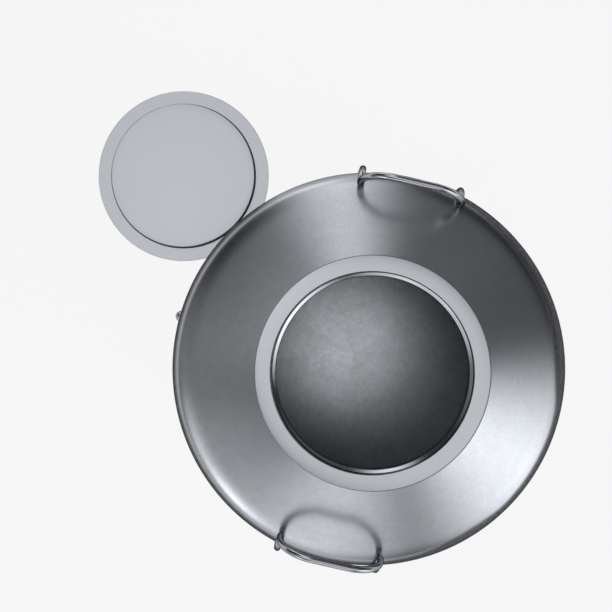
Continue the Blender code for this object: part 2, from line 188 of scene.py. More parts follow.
def tubeMesh(name, path, radii, side, sides, closed=False, along=None):
    # A ring of points about each place on the path, in the plane of the side vector and the path's other
    # normal; a radius of nought closes an end. The rings stand square to the path unless along is given.
    if along is None and closed:
        along = np.roll(path, -1, 0) - np.roll(path, 1, 0)
    elif along is None:
        along = np.gradient(path, axis=0)
    along = unit(along)
    side = unit(side - (side * along).sum(1, keepdims=True) * along)
    up = np.cross(along, side)
    angle = np.linspace(0.0, 2 * math.pi, sides, endpoint=False)
    cosine, sine = np.cos(angle)[None, :, None], np.sin(angle)[None, :, None]
    circle = cosine * side[:, None, :] + sine * up[:, None, :]
    rings = path[:, None, :] + circle * radii[:, None, None]
    return ringMesh(name, rings, closed)


def ringOutline(inner, outer, low, high, edge, arcSteps=4, guard=0.0001):
    # The section of a flat ring with rounded corners.
    corners = [(outer, high), (outer, low), (inner, low), (inner, high)]
    return roundedOutline(corners, edge, arcSteps=arcSteps, guard=guard)


def latheMesh(name, corners, radii, steps, arcSteps=6, guard=0.0001):
    # A turned solid: its half section starts and ends on the axis, with rounded corners between.
    outline = roundedOutline(corners, radii, closed=False, arcSteps=arcSteps, guard=guard)
    return turnedMesh(name, outline, steps, closed=False)


def rodMesh(name, radius, low, high, steps, edge=0.0):
    # A round bar along Z.
    corners = [(0.0, high), (radius, high), (radius, low), (0.0, low)]
    return latheMesh(name, corners, edge, steps, arcSteps=4)


def hexagonMesh(name, acrossFlats, low, high, bore, steps=240):
    # A six-sided bar: each point's radius is the softened minimum of the six flats and of the turning
    # cone that chamfers both ends; the bore, if there is one, is a plain circle.
    angle = np.linspace(0.0, 2 * math.pi, steps, endpoint=False)
    flats = np.cos(angle[:, None] - np.arange(6) * math.pi / 3)
    cornerPower = 70
    flatRadius = acrossFlats / 2 / (np.maximum(flats, 0.0) ** cornerPower).sum(1) ** (1 / cornerPower)
    chamferShare, rimShare, cornerShare = 0.06, 1.02, 0.5774
    chamfer = acrossFlats * chamferShare
    rim = acrossFlats / 2 * rimShare
    corner = acrossFlats * cornerShare
    shrunk = 0.2 * bore + 0.8 * rim
    end = [(shrunk, 0.0), (rim - 0.0001, 0.0), (rim, 0.00005), (corner, chamfer),
           (corner, chamfer + 0.0002)]
    limits = np.array([(reach, high - depth) for reach, depth in end]
                      + [(reach, low + depth) for reach, depth in end[::-1]])
    softness = 0.00006
    outer = -softness * np.log(np.exp(-(flatRadius[None, :] - rim) / softness)
                               + np.exp(-(limits[:, :1] - rim) / softness)) + rim
    heights = np.repeat(limits[:, 1:], steps, axis=1)
    if bore > 0:
        mouth = bore + 0.0001
        inside = np.array([(mouth, low), (bore, low + 0.0001), (bore, high - 0.0001), (mouth, high)])
        outer = np.vstack([outer, np.repeat(inside[:, :1], steps, axis=1)])
        heights = np.vstack([heights, np.repeat(inside[:, 1:], steps, axis=1)])
    else:
        outer = np.vstack([np.zeros((1, steps)), outer, np.zeros((1, steps))])
        heights = np.vstack([np.full((1, steps), high), heights, np.full((1, steps), low)])
    rings = np.stack([outer * np.cos(angle), outer * np.sin(angle), heights], -1)
    return ringMesh(name, rings, bore > 0)


def newObject(name, data):
    # An object in the scene that shows a mesh, a lamp or a camera.
    item = bpy.data.objects.new(name, data)
    bpy.context.scene.collection.objects.link(item)
    return item


def addPiece(name, mesh, material, body, node):
    # A finished piece: it rides on a body, has its material's slot, and may stand for a CAD node.
    piece = newObject(name, mesh)
    mesh.materials.append(material)
    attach(piece, body)
    if node:
        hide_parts(node)


def carved(mesh, tools):
    # Joins and cuts a mesh with others, keeps the result and clears the helpers away.
    holder = newObject(mesh.name, mesh)
    helpers = [holder]
    for tool, operation in tools:
        helper = newObject(tool.name, tool)
        helpers.append(helper)
        change = holder.modifiers.new(tool.name, "BOOLEAN")
        change.object = helper
        change.operation = operation
        change.solver = "EXACT"
    bpy.context.view_layer.update()
    result = bpy.data.meshes.new_from_object(holder.evaluated_get(bpy.context.evaluated_depsgraph_get()))
    for helper in helpers:
        bpy.data.objects.remove(helper)
    result.name = mesh.name
    result.polygons.foreach_set("use_smooth", np.ones(len(result.polygons), bool))
    sharpAngle = math.radians(32.0)
    result.set_sharp_from_angle(angle=sharpAngle)
    result.materials.clear()
    return result


def moved(mesh, *steps):
    # The same mesh after each turn or shift in order.
    for step in steps:
        mesh.transform(step)
    return mesh


def boxTool(name, low, high):
    # A plain block between two corners, for cutting slots.
    low, high = np.asarray(low, float), np.asarray(high, float)
    corner = np.array([(x, y, z) for z in (0, 1) for y in (0, 1) for x in (0, 1)], float)
    faces = [(0, 2, 3, 1), (4, 5, 7, 6), (0, 1, 5, 4), (2, 6, 7, 3), (0, 4, 6, 2), (1, 3, 7, 5)]
    mesh = bpy.data.meshes.new(name)
    mesh.from_pydata((low + corner * (high - low)).tolist(), [], faces)
    return mesh


# Finishes

socketKinds = {1: "NodeSocketFloat", 3: "NodeSocketVector", 4: "NodeSocketColor"}


def newGroup(name, inputs, outputs):
    # A node group. Each input has its first value, each output its number of channels, and the number of
    # channels gives a socket its kind.
    group = bpy.data.node_groups.new(name, "ShaderNodeTree")
    for label, value in inputs.items():
        kind = socketKinds[np.size(value)]
        socket = group.interface.new_socket(label, in_out="INPUT", socket_type=kind)
        socket.default_value = value
    for label, channels in outputs.items():
        group.interface.new_socket(label, in_out="OUTPUT", socket_type=socketKinds[channels])
    source = group.nodes.new("NodeGroupInput")
    sink = group.nodes.new("NodeGroupOutput")
    return group, source.outputs, sink.inputs


def feed(tree, value, socket):
    # A number or colour goes into the socket itself; another node's output is linked to it.
    if isinstance(value, (int, float, tuple)):
        socket.default_value = value
    else:
        tree.links.new(value, socket)


def addNode(tree, kind, inputs=None, **settings):
    # A node with its settings, and what goes into each socket by the socket's name or number.
    node = tree.nodes.new(kind)
    for key, value in settings.items():
        setattr(node, key, value)
    for socket, value in (inputs or {}).items():
        feed(tree, value, node.inputs[socket])
    return node


def mathNode(tree, operation, *values, clamp=False):
    # One step of arithmetic.
    inputs = dict(enumerate(values))
    return addNode(tree, "ShaderNodeMath", inputs, operation=operation, use_clamp=clamp).outputs[0]


def sumNode(tree, first, *others):
    # All the values added up, one after another.
    for value in others:
        first = mathNode(tree, "ADD", first, value)
    return first


def timesNode(tree, value, factor):
    # The product of the two.
    return mathNode(tree, "MULTIPLY", value, factor)


def variationNode(tree, value, amount):
    # A value that runs from nought to one, centred on nought and scaled by the amount.
    return timesNode(tree, mathNode(tree, "SUBTRACT", value, 0.5), amount)


def noiseNode(tree, vector, scale, detail, roughness=0.55):
    # Smooth noise between nought and one.
    inputs = {"Vector": vector, "Scale": scale, "Detail": detail, "Roughness": roughness}
    return addNode(tree, "ShaderNodeTexNoise", inputs).outputs["Fac"]


def mixColours(tree, factor, first, second, kind="MIX"):
    # The first colour at a factor of nought and the second at one. Sockets 6 and 7 hold the colours.
    inputs = {0: factor, 6: first, 7: second}
    return addNode(tree, "ShaderNodeMix", inputs, data_type="RGBA", blend_type=kind).outputs[2]


def rangeNode(tree, value, low, high, toLow=0.0, toHigh=1.0):
    # A soft step: toLow up to low, toHigh past high, and a smooth change between.
    inputs = {"Value": value, "From Min": low, "From Max": high, "To Min": toLow, "To Max": toHigh}
    return addNode(tree, "ShaderNodeMapRange", inputs, interpolation_type="SMOOTHSTEP").outputs["Result"]


def placeOf(tree):
    # A point's place in the frame's own axes.
    return addNode(tree, "ShaderNodeTexCoord").outputs["Object"]


def splitOf(tree, place):
    # The three coordinates of a place.
    return addNode(tree, "ShaderNodeSeparateXYZ", {0: place}).outputs


def distanceFrom(tree, place, x=0.0, y=0.0):
    # How far a point lies from an upright line through x and y.
    away = [mathNode(tree, "SUBTRACT", place[i], value) for i, value in enumerate((x, y))]
    squares = [timesNode(tree, value, value) for value in away]
    return mathNode(tree, "SQRT", sumNode(tree, *squares))


def distanceOff(tree, place, bearing, shift):
    # How far a point lies from an upright line that stands off the drum's axis by the shift.
    return distanceFrom(tree, place, shift * math.cos(bearing), shift * math.sin(bearing))


plainColour = (0.6, 0.6, 0.62, 1.0)
white = (1.0, 1.0, 1.0, 1.0)


def makeSheetFinish():
    # Rolled and polished sheet: cloudy patches, fine speckle and polishing lines that run round Z.
    group, given, out = newGroup("sheetFinish", {
        "Base": plainColour, "Tint": plainColour, "Roughness": 0.3, "Cloud Scale": 22.0, "Cloud": 0.1,
        "Speckle": 0.05, "Lines": 0.05, "Bump": 0.05, "Centre": (0.0, 0.0, 0.0),
    }, {"Color": 4, "Roughness": 1, "Normal": 3})
    place = placeOf(group)
    centred = addNode(group, "ShaderNodeVectorMath", {0: place, 1: given["Centre"]}, operation="SUBTRACT")
    split = splitOf(group, centred.outputs[0])
    linesPerMetre = 1500.0
    linesPerTurn = 5.0
    across = timesNode(group, distanceFrom(group, split), linesPerMetre)
    upward = timesNode(group, split[2], linesPerMetre)
    bearing = mathNode(group, "ABSOLUTE", mathNode(group, "ARCTAN2", split[1], split[0]))
    ringPlace = addNode(group, "ShaderNodeCombineXYZ",
                        {0: across, 1: upward, 2: timesNode(group, bearing, linesPerTurn)})
    cloud = noiseNode(group, place, given["Cloud Scale"], 5.0, 0.62)
    speckleScale, patchScale = 760.0, 130.0
    speckle = noiseNode(group, place, speckleScale, 3.0, 0.7)
    patch = noiseNode(group, place, patchScale, 4.0, 0.6)
    lines = noiseNode(group, ringPlace.outputs[0], 1.0, 2.0, 0.6)
    grey = variationNode(group, cloud, given["Cloud"])
    fine = variationNode(group, speckle, given["Speckle"])
    middle = variationNode(group, patch, timesNode(group, given["Speckle"], 0.5))
    streak = variationNode(group, lines, given["Lines"])
    total = sumNode(group, grey, fine, middle, streak)
    toned = mixColours(group, rangeNode(group, cloud, 0.35, 0.65), given["Base"], given["Tint"])
    scaled = addNode(group, "ShaderNodeVectorMath", {0: toned, "Scale": sumNode(group, total, 1.0)},
                     operation="SCALE")
    feed(group, scaled.outputs[0], out["Color"])
    brightIsSmooth = 0.08
    rough = mathNode(group, "SUBTRACT", given["Roughness"], timesNode(group, total, brightIsSmooth))
    feed(group, rough, out["Roughness"])
    shares = ((speckle, 0.5), (lines, 0.5), (patch, 0.25))
    height = sumNode(group, *[timesNode(group, value, share) for value, share in shares])
    relief = {"Distance": 0.0002, "Strength": given["Bump"], "Height": height}
    feed(group, addNode(group, "ShaderNodeBump", relief).outputs[0], out["Normal"])
    return group


def makeHeatTint():
    # Straw and blue-grey colour left beside a weld: strongest at the given distance nought, gone at Reach.
    group, given, out = newGroup("heatTint", {
        "Color": plainColour, "Distance": 1.0, "Reach": 0.006, "Amount": 0.5,
    }, {"Color": 4})
    uneven = noiseNode(group, placeOf(group), 160.0, 3.0)
    share = mathNode(group, "DIVIDE", mathNode(group, "ABSOLUTE", given["Distance"]), given["Reach"])
    away = sumNode(group, share, timesNode(group, uneven, 0.7))
    near = mathNode(group, "SUBTRACT", 1.35, away, clamp=True)
    ramp = addNode(group, "ShaderNodeValToRGB", {0: near})
    stops = ramp.color_ramp.elements
    stops[0].color = white
    stops[1].color = (0.42, 0.42, 0.46, 1.0)
    for position, colour in ((0.35, (0.96, 0.90, 0.78, 1.0)), (0.7, (0.62, 0.62, 0.74, 1.0))):
        stop = stops.new(position)
        stop.color = colour
    tinted = mixColours(group, given["Amount"], white, ramp.outputs[0])
    feed(group, mixColours(group, 1.0, given["Color"], tinted, "MULTIPLY"), out["Color"])
    return group


def makePaintedShadeGroup():
    # Painted shade over the share of the surface that Mask gives: a dark colour, a little duller, broken
    # up by a fine noise.
    group, given, out = newGroup("paintedShadeGroup", {
        "Color": plainColour, "Roughness": 0.3, "Mask": 0.0, "Shade": (0.055, 0.055, 0.058, 1.0),
    }, {"Color": 4, "Roughness": 1})
    uneven = noiseNode(group, placeOf(group), 240.0, 3.0)
    broken = sumNode(group, timesNode(group, uneven, 0.4), 0.8)
    mask = mathNode(group, "MULTIPLY", given["Mask"], broken, clamp=True)
    shadeRoughness = 0.18
    feed(group, mixColours(group, mask, given["Color"], given["Shade"]), out["Color"])
    rough = sumNode(group, given["Roughness"], timesNode(group, mask, shadeRoughness))
    feed(group, rough, out["Roughness"])
    return group


sheetFinish = makeSheetFinish()
heatTint = makeHeatTint()
paintedShadeGroup = makePaintedShadeGroup()


def startMaterial(name, metallic):
    # A material with its own shader, ready for its finish.
    material = bpy.data.materials.new(name)
    material.use_nodes = True
    tree = material.node_tree
    shader = tree.nodes["Principled BSDF"]
    shader.inputs["Metallic"].default_value = metallic
    return material, tree, shader


def linkFinish(tree, shader, colour, roughness, normal):
    # What the finish works out, fed to the shader.
    for label, value in (("Base Color", colour), ("Roughness", roughness), ("Normal", normal)):
        feed(tree, value, shader.inputs[label])


def metalMaterial(name, look, glance=white, welds=(), shadeMask=None):
    # Metal with its own polish, heat tint at the heights of its welds, and painted shade where a mask asks
    # for it. Its fine scratches darken it to the glance colour, so it is no mirror at a glancing view.
    material, tree, shader = startMaterial(name, 1.0)
    shader.inputs["Specular Tint"].default_value = glance
    skin = addNode(tree, "ShaderNodeGroup", look, node_tree=sheetFinish).outputs
    colour, rough = skin["Color"], skin["Roughness"]
    place = splitOf(tree, placeOf(tree))
    for weldHeight, reach, amount in welds:
        distance = mathNode(tree, "SUBTRACT", place[2], weldHeight)
        inputs = {"Color": colour, "Distance": distance, "Reach": reach, "Amount": amount}
        colour = addNode(tree, "ShaderNodeGroup", inputs, node_tree=heatTint).outputs["Color"]
    if shadeMask:
        inputs = {"Color": colour, "Roughness": rough, "Mask": shadeMask(tree, place)}
        paintedShade = addNode(tree, "ShaderNodeGroup", inputs, node_tree=paintedShadeGroup).outputs
        colour, rough = paintedShade["Color"], paintedShade["Roughness"]
    linkFinish(tree, shader, colour, rough, skin["Normal"])
    return material


print("finishes ready")

sheetGlance = (0.35, 0.35, 0.36, 1.0)
satinLook = {"Base": (0.450, 0.465, 0.492, 1.0), "Tint": (0.440, 0.458, 0.494, 1.0), "Roughness": 0.26,
             "Cloud Scale": 26.0, "Cloud": 0.10, "Speckle": 0.34, "Lines": 0.12, "Bump": 0.05}
flatLook = {"Base": (0.500, 0.518, 0.545, 1.0), "Tint": (0.495, 0.512, 0.552, 1.0), "Roughness": 0.33,
            "Cloud Scale": 34.0, "Cloud": 0.05, "Speckle": 0.06, "Lines": 0.04, "Bump": 0.05}
# Lighter than the wall's steel: painted light that makes up for the shade inside the drum, with stronger
# mottling.
panLook = dict(satinLook, Base=(0.515, 0.532, 0.562, 1.0), Tint=(0.505, 0.525, 0.565, 1.0),
               Roughness=0.328, Cloud=0.50, Speckle=0.74)
collarLook = dict(satinLook, Roughness=0.17, Speckle=0.12)

# Painted shade on the shoulder's rim, standing in for a dark reflection there. Each stretch has a place, a
# width and how much further in the painted shade reaches there, less far where that is negative.
rimShade = {
    "bearing": math.radians(-97.0),
    "shift": 0.0020,
    "start": 0.1765,
    "full": 0.1808,
    "strength": 0.84,
    "stretches": ((-0.102, 0.148, 0.135, 0.0036), (-0.045, 0.174, 0.050, 0.0030),
                  (0.133, 0.122, 0.050, 0.0026), (0.179, 0.015, 0.080, -0.0012)),
    "unshaded": (-0.1730, -0.0655),
    "unshadedInside": 0.055,
    "unshadedOutside": 0.090,
}


def rimMask(tree, place):
    # Painted shade, for a dark reflection, on the tightest part of the shoulder's bend, gone again at the
    # skirt. It reaches further in on the side away from the tap, so its inner edge is a circle a little
    # off the drum's axis.
    reach = distanceOff(tree, place, rimShade["bearing"], rimShade["shift"])
    for x, y, width, wider in rimShade["stretches"]:
        change = rangeNode(tree, distanceFrom(tree, place, x, y), width, 0.2 * width, 0.0, wider)
        reach = mathNode(tree, "ADD", reach, change)
    upper = rangeNode(tree, reach, rimShade["start"], rimShade["full"], 0.0, rimShade["strength"])
    lower = rangeNode(tree, place[2], edgeZ - 0.003, edgeZ + 0.002)
    # On one stretch beside the handle the painted shade is mostly left off, so the rim is lighter there.
    away = distanceFrom(tree, place, *rimShade["unshaded"])
    kept = rangeNode(tree, away, rimShade["unshadedInside"], rimShade["unshadedOutside"], 0.10, 1.0)
    return timesNode(tree, timesNode(tree, upper, lower), kept)


flangeShade = {
    "bearing": math.radians(-77.0),
    "holeShift": 0.00105,
    "holeEdge": 0.09015,
    "holeShade": 0.9,
    "outerShift": 0.0004,
    "outerShade": 0.75,
}


def flangeMask(tree, place):
    # Painted shade: a dark, dull crescent beside the hole's edge on the tap's side, a little off centre,
    # standing in for the shadow of a gap there. The cut edge outside carries a thin line of painted shade
    # as well.
    reach = distanceOff(tree, place, flangeShade["bearing"], flangeShade["holeShift"])
    holeEdge = flangeShade["holeEdge"]
    crescent = rangeNode(tree, reach, holeEdge, holeEdge - 0.0003, 0.0, flangeShade["holeShade"])
    reach = distanceOff(tree, place, flangeShade["bearing"], flangeShade["outerShift"])
    outer = counterbore + drum["flangeWidth"]
    edge = rangeNode(tree, reach, outer - 0.0010, outer - 0.0004, 0.0, flangeShade["outerShade"])
    return mathNode(tree, "MAXIMUM", crescent, edge)


def collarMask(tree, place):
    # Painted shade in the inner corner of the lid's seat, and all down the bore below the seat, where
    # shade falls.
    seatTop = drum["height"] - drum["ledgeDepth"]
    seatFoot = seatTop - drum["ledgeDrop"]
    below = rangeNode(tree, place[2], seatFoot + 0.0005, seatFoot + 0.0001, 0.0, 0.88)
    cornerFoot = rangeNode(tree, place[2], seatTop - 0.0003, seatTop + 0.0001, 0.0, 0.6)
    cornerTop = rangeNode(tree, place[2], seatTop + 0.0022, seatTop + 0.0008)
    return mathNode(tree, "MAXIMUM", below, timesNode(tree, cornerFoot, cornerTop))


# Heat tint beside a weld: its height, how far it reaches and its strength
neckSeam = coneHeight(shoulderHole)
topWeld = (topSeam, 0.004, 0.5)
bottomWeld = (bottomSeam, 0.004, 0.5)
wallSteel = metalMaterial("wallSteel", satinLook, sheetGlance, (topWeld, bottomWeld))
panSteel = metalMaterial("panSteel", panLook, sheetGlance, (bottomWeld,))
shoulderWelds = (topWeld, (neckSeam, 0.0015, 0.6))
shoulderSteel = metalMaterial("shoulderSteel", satinLook, sheetGlance, shoulderWelds, rimMask)
collarSteel = metalMaterial("collarSteel", collarLook, sheetGlance, ((neckSeam, 0.003, 0.6),), collarMask)
flangeSteel = metalMaterial("flangeSteel", flatLook, sheetGlance, shadeMask=flangeMask)
print("sheet materials ready")


# Drum body

def shoulderBend():
    # From the cone over the edge to the wall: the sine of the surface's tilt rises from the cone's to one
    # as a power of the way out, and each step falls by the tangent of the tilt there. Steps shorten
    # towards the wall.
    share = 1 - (1 - np.linspace(0.0, 1.0, 41)) ** 2
    middle = (share[1:] + share[:-1]) / 2
    sine = math.sin(drum["slope"]) + (1 - math.sin(drum["slope"])) * middle ** drum["bendPower"]
    radius = drum["bendStart"] + (drum["radius"] - drum["bendStart"]) * share
    fall = np.cumsum(sine / np.sqrt(1 - sine ** 2) * np.diff(radius))
    height = coneHeight(drum["bendStart"]) - np.concatenate([[0.0], fall])
    return np.stack([radius, height], -1)


def makeShoulder():
    # The cone, the bend and the skirt as the outer line, and the sheet's thickness inside it.
    rim = shoulderHole + drum["sheet"] * math.sin(drum["slope"])
    cone = np.linspace(rim, drum["bendStart"], 20)[:-1]
    outside = np.vstack([np.stack([cone, coneHeight(cone)], -1), shoulderBend(),
                         [(drum["radius"], topSeam + 0.0004), (drum["radius"] - 0.0001, topSeam)]])
    outline = np.vstack([outside, insetLine(outside, drum["sheet"])[::-1]])
    mesh = turnedMesh("shoulder_sheet", outline, ringSteps)
    addPiece("shoulder_sheet", mesh, shoulderSteel, "drum", "shoulder")


def makeWall():
    # A plain turned sheet with the round hole for the tap's socket.
    low, high = bottomSeam + drum["seamGap"], topSeam - drum["seamGap"]
    outer = drum["radius"]
    outline = ringOutline(outer - drum["sheet"], outer, low, high, 0.0003, arcSteps=3, guard=0.00025)
    mesh = turnedMesh("wall_sheet", outline, ringSteps)
    hole = rodMesh("wall_hole", drum["tapHole"], -0.02, 0.02, 96)
    moved(hole, Matrix.Rotation(math.pi / 2, 4, "X"), Matrix.Translation((0.0, -outer, drum["tapHeight"])))
    mesh = carved(mesh, [(hole, "DIFFERENCE")])
    addPiece("wall_sheet", mesh, wallSteel, "drum", "body_wall")


def makeBottom():
    # A skirt, a quarter arc and a flat floor as the outer line, and the sheet's thickness inside it.
    arcSteps = 12
    bend = np.linspace(0.0, -math.pi / 2, arcSteps + 1)
    inset = drum["radius"] - drum["bottomEdge"]
    edge = drum["bottomEdge"]
    arc = np.stack([inset + edge * np.cos(bend), edge * (1 + np.sin(bend))], -1)
    flat = np.stack([np.linspace(inset, 0.0, 14)[1:], np.zeros(13)], -1)
    skirtTop = [(drum["radius"] - 0.0001, bottomSeam), (drum["radius"], bottomSeam - 0.0004)]
    outside = np.vstack([skirtTop, arc, flat])
    inside = insetLine(outside, drum["sheet"])
    inside[-1] = (0.0, drum["sheet"])
    outline = np.vstack([inside[::-1], outside])
    mesh = turnedMesh("bottom_sheet", outline, ringSteps, closed=False)
    addPiece("bottom_sheet", mesh, panSteel, "drum", "bottom_pan")


def makeNeck():
    # The pressed collar by its corners: lip, bore for the lid's plug, ledge and neck.
    lipTop = drum["height"] - drum["flangeSheet"] - drum["seamGap"]
    ledgeTop = drum["height"] - drum["ledgeDepth"]
    ledgeFoot = ledgeTop - drum["ledgeDrop"]
    sheet = drum["sheet"]
    tail = coneHeight(shoulderHole) - sheet - 0.003
    ledgeSlope = math.atan2(drum["ledgeDrop"], drum["ledgeWidth"])
    shift = sheet * math.tan(math.pi / 4 - ledgeSlope / 2)
    outerBore = counterbore + sheet
    lip = outerBore + 0.007
    corners = [(lip, lipTop), (lip, lipTop - sheet), (outerBore, lipTop - sheet),
               (outerBore, ledgeTop - shift), (collarRadius, ledgeFoot - shift), (collarRadius, tail),
               (drum["neckBore"], tail), (drum["neckBore"], ledgeFoot), (counterbore, ledgeTop),
               (counterbore, lipTop)]
    radii = [0.0004, 0.0004, 0.0010, 0.0016, 0.0012, 0.0003, 0.0003, 0.0009, 0.0009, 0.0004]
    mesh = turnedMesh("neck_sheet", roundedOutline(corners, radii), ringSteps)
    addPiece("neck_sheet", mesh, collarSteel, "drum", "neck_collar")


def makeFlange():
    # A flat ring whose face falls with the cube of the way out.
    outer = counterbore + drum["flangeWidth"]
    across = np.linspace(drum["flangeWidth"], 0.0, 12)
    crown = drum["height"] - drum["flangeFall"] * (across / drum["flangeWidth"]) ** 3
    under = drum["height"] - drum["flangeSheet"]
    face = np.stack([counterbore + across, crown], -1)
    corners = np.vstack([face, [(counterbore, under), (outer, under)]])
    outline = roundedOutline(corners, [0.0006] + [0.0] * 10 + [0.0006, 0.0003, 0.0003])
    mesh = turnedMesh("flange_ring", outline, ringSteps)
    addPiece("flange_ring", mesh, flangeSteel, "drum", "neck_flange")


makeShoulder()
makeWall()
makeBottom()
makeNeck()
makeFlange()
print("drum body ready")


# Handles: the wire's centre line, worked out as outward, sideways and height

handle = {
    "wire": 0.0064,
    "halfSpan": 0.047,
    "corner": 0.031,
    "leg": 0.0035,
    "lean": math.radians(10.0),
    "foot": 0.050,
    "wrap": math.radians(68.0),
    "heel": 0.006,
    # How strong the painted shade is where the wire stands out past the wall
    "paintedShade": 0.45,
}


def handleTrack():
    # One foot up the wall, round the drum's edge, back through the heel, up the leaning leg, round the
    # corner to the middle of the grip; the other half is its mirror image.
    wire = handle["wire"] / 2
    side = handle["halfSpan"]
    track = drum["radius"] + drum["seamGap"] + wire
    outer = math.sqrt(track ** 2 - side ** 2)
    wrapRadius = drum["edgeRadius"] + drum["seamGap"] + wire
    wrapCentre = outer - wrapRadius
    rise = np.linspace(edgeZ - handle["foot"], edgeZ, 40)[:-1]
    foot = np.stack([np.full(39, outer), rise], -1)
    bend = np.linspace(0.0, handle["wrap"], 28)
    wrap = np.stack([wrapCentre + wrapRadius * np.cos(bend), edgeZ + wrapRadius * np.sin(bend)], -1)
    reach = wrapRadius + handle["heel"]
    wrapEnd = np.array([math.cos(handle["wrap"]), math.sin(handle["wrap"])])
    heelCentre = (wrapCentre, edgeZ) + reach * wrapEnd
    turn = np.linspace(handle["wrap"] - math.pi, -math.pi - handle["lean"], 22)[1:]
    heel = heelCentre + handle["heel"] * np.stack([np.cos(turn), np.sin(turn)], -1)
    flat = np.vstack([foot, wrap, heel])
    low = np.column_stack([flat[:, 0], np.full(len(flat), side), flat[:, 1]])
    base = flat[-1]
    corner = np.linspace(0.0, math.pi / 2, 44)
    up = handle["leg"] + handle["corner"] * np.sin(corner)
    inward = handle["corner"] * (1 - np.cos(corner))
    lean = handle["lean"]
    high = np.column_stack([base[0] + up * math.sin(lean), side - inward, base[1] + up * math.cos(lean)])
    grip = high[-1] - np.outer(np.linspace(0.0, 1.0, 9)[1:], (0.0, high[-1][1], 0.0))
    half = np.vstack([low, high, grip])
    mirrored = half[:-1][::-1] * np.array([1.0, -1.0, 1.0])
    return np.vstack([half, mirrored]), len(low)


def makeHandle(name, node, direction, material):
    # A tube along the track. Its rings' side vector points sideways at foot and wrap, and lies in the
    # grip's own plane above; a few rings at each end shrink to a point, which chamfers the cut wire.
    path, lowCount = handleTrack()
    path = path * np.array([direction, direction, 1.0])
    wire = handle["wire"] / 2
    along = unit(np.gradient(path, axis=0))
    lean = np.array([math.cos(handle["lean"]) * direction, 0.0, -math.sin(handle["lean"])])
    side = np.cross(along, lean)
    sideways = np.array([0.0, direction, 0.0])
    side[:lowCount] = sideways
    side[-lowCount:] = -sideways
    chamfer = 0.0007
    capReach = np.array([[0.0], [0.0], [chamfer * 0.4], [chamfer]])
    capRadii = np.array([0.0, wire - chamfer, wire - chamfer * 0.3, wire])
    kept = np.arange(2, len(path) - 2)
    rows = np.concatenate([[0] * 4, kept, [-1] * 4])
    startCap = path[0] + along[0] * capReach
    endCap = path[-1] - along[-1] * capReach[::-1]
    full = np.vstack([startCap, path[kept], endCap])
    radii = np.concatenate([capRadii, np.full(len(kept), wire), capRadii[::-1]])
    mesh = tubeMesh(name, full, radii, side[rows], 32, along=along[rows])
    addPiece(name, mesh, material, "drum", node)


def wireMask(tree, place):
    # Painted shade where the wire stands out past the drum's wall, standing in for a darker reflection
    # there.
    start, full = drum["radius"] - 0.0015, drum["radius"] + 0.0020
    return rangeNode(tree, distanceFrom(tree, place), start, full, 0.0, handle["paintedShade"])


# Bright drawn wire, heat tinted by its weld
wireLook = {"Base": (0.40, 0.41, 0.43, 1.0), "Tint": (0.38, 0.39, 0.42, 1.0), "Roughness": 0.14,
            "Cloud Scale": 60.0, "Cloud": 0.10, "Speckle": 0.12, "Lines": 0.0, "Bump": 0.12}
wireGlance = (0.12, 0.12, 0.13, 1.0)
footWeld = (edgeZ - handle["foot"] + 0.008, 0.012, 0.45)
wireSteel = metalMaterial("wireSteel", wireLook, wireGlance, (footWeld,), wireMask)
makeHandle("right_wire_handle", "handle_right", 1.0, wireSteel)
makeHandle("left_wire_handle", "handle_left", -1.0, wireSteel)
print("handles ready")


# Welds: rippled beads along the seams

beadLook = {"Base": (0.50, 0.50, 0.51, 1.0), "Tint": (0.46, 0.47, 0.52, 1.0), "Roughness": 0.32,
            "Cloud Scale": 200.0, "Cloud": 0.30, "Speckle": 0.25, "Lines": 0.0, "Bump": 0.3}
weldBead = metalMaterial("weldBead", beadLook)


def rippled(thickness, depth, phase):
    # A bead's thickness along its run: the size of a cosine sinks it by the depth, a share of the whole.
    return thickness * (1 - depth + depth * np.abs(np.cos(phase)))


def ringBead(name, radius, height, thickness, ripples, depth, steps):
    # A closed bead round the Z axis.
    angle = np.linspace(0.0, 2 * math.pi, steps, endpoint=False)
    path = np.stack([radius * np.cos(angle), radius * np.sin(angle), np.full(steps, height)], -1)
    swell = rippled(thickness, depth, angle * ripples / 2)
    side = np.stack([np.cos(angle), np.sin(angle), np.zeros(steps)], -1)
    mesh = tubeMesh(name, path, swell, side, 10, closed=True)
    addPiece(name, mesh, weldBead, "drum", None)


def socketBead():
    # A closed bead where the round socket meets the curved wall: a circle laid on the cylinder.
    steps = 360
    angle = np.linspace(0.0, 2 * math.pi, steps, endpoint=False)
    reach = 0.0136
    x = reach * np.cos(angle)
    z = drum["tapHeight"] + reach * np.sin(angle)
    y = -np.sqrt((drum["radius"] + 0.0002) ** 2 - x ** 2)
    path = np.stack([x, y, z], -1)
    side = np.stack([np.cos(angle), np.zeros(steps), np.sin(angle)], -1)
    swell = rippled(0.0011, 0.14, angle * 22)
    mesh = tubeMesh("socket_weld", path, swell, side, 12, closed=True)
    addPiece("socket_weld", mesh, weldBead, "drum", None)


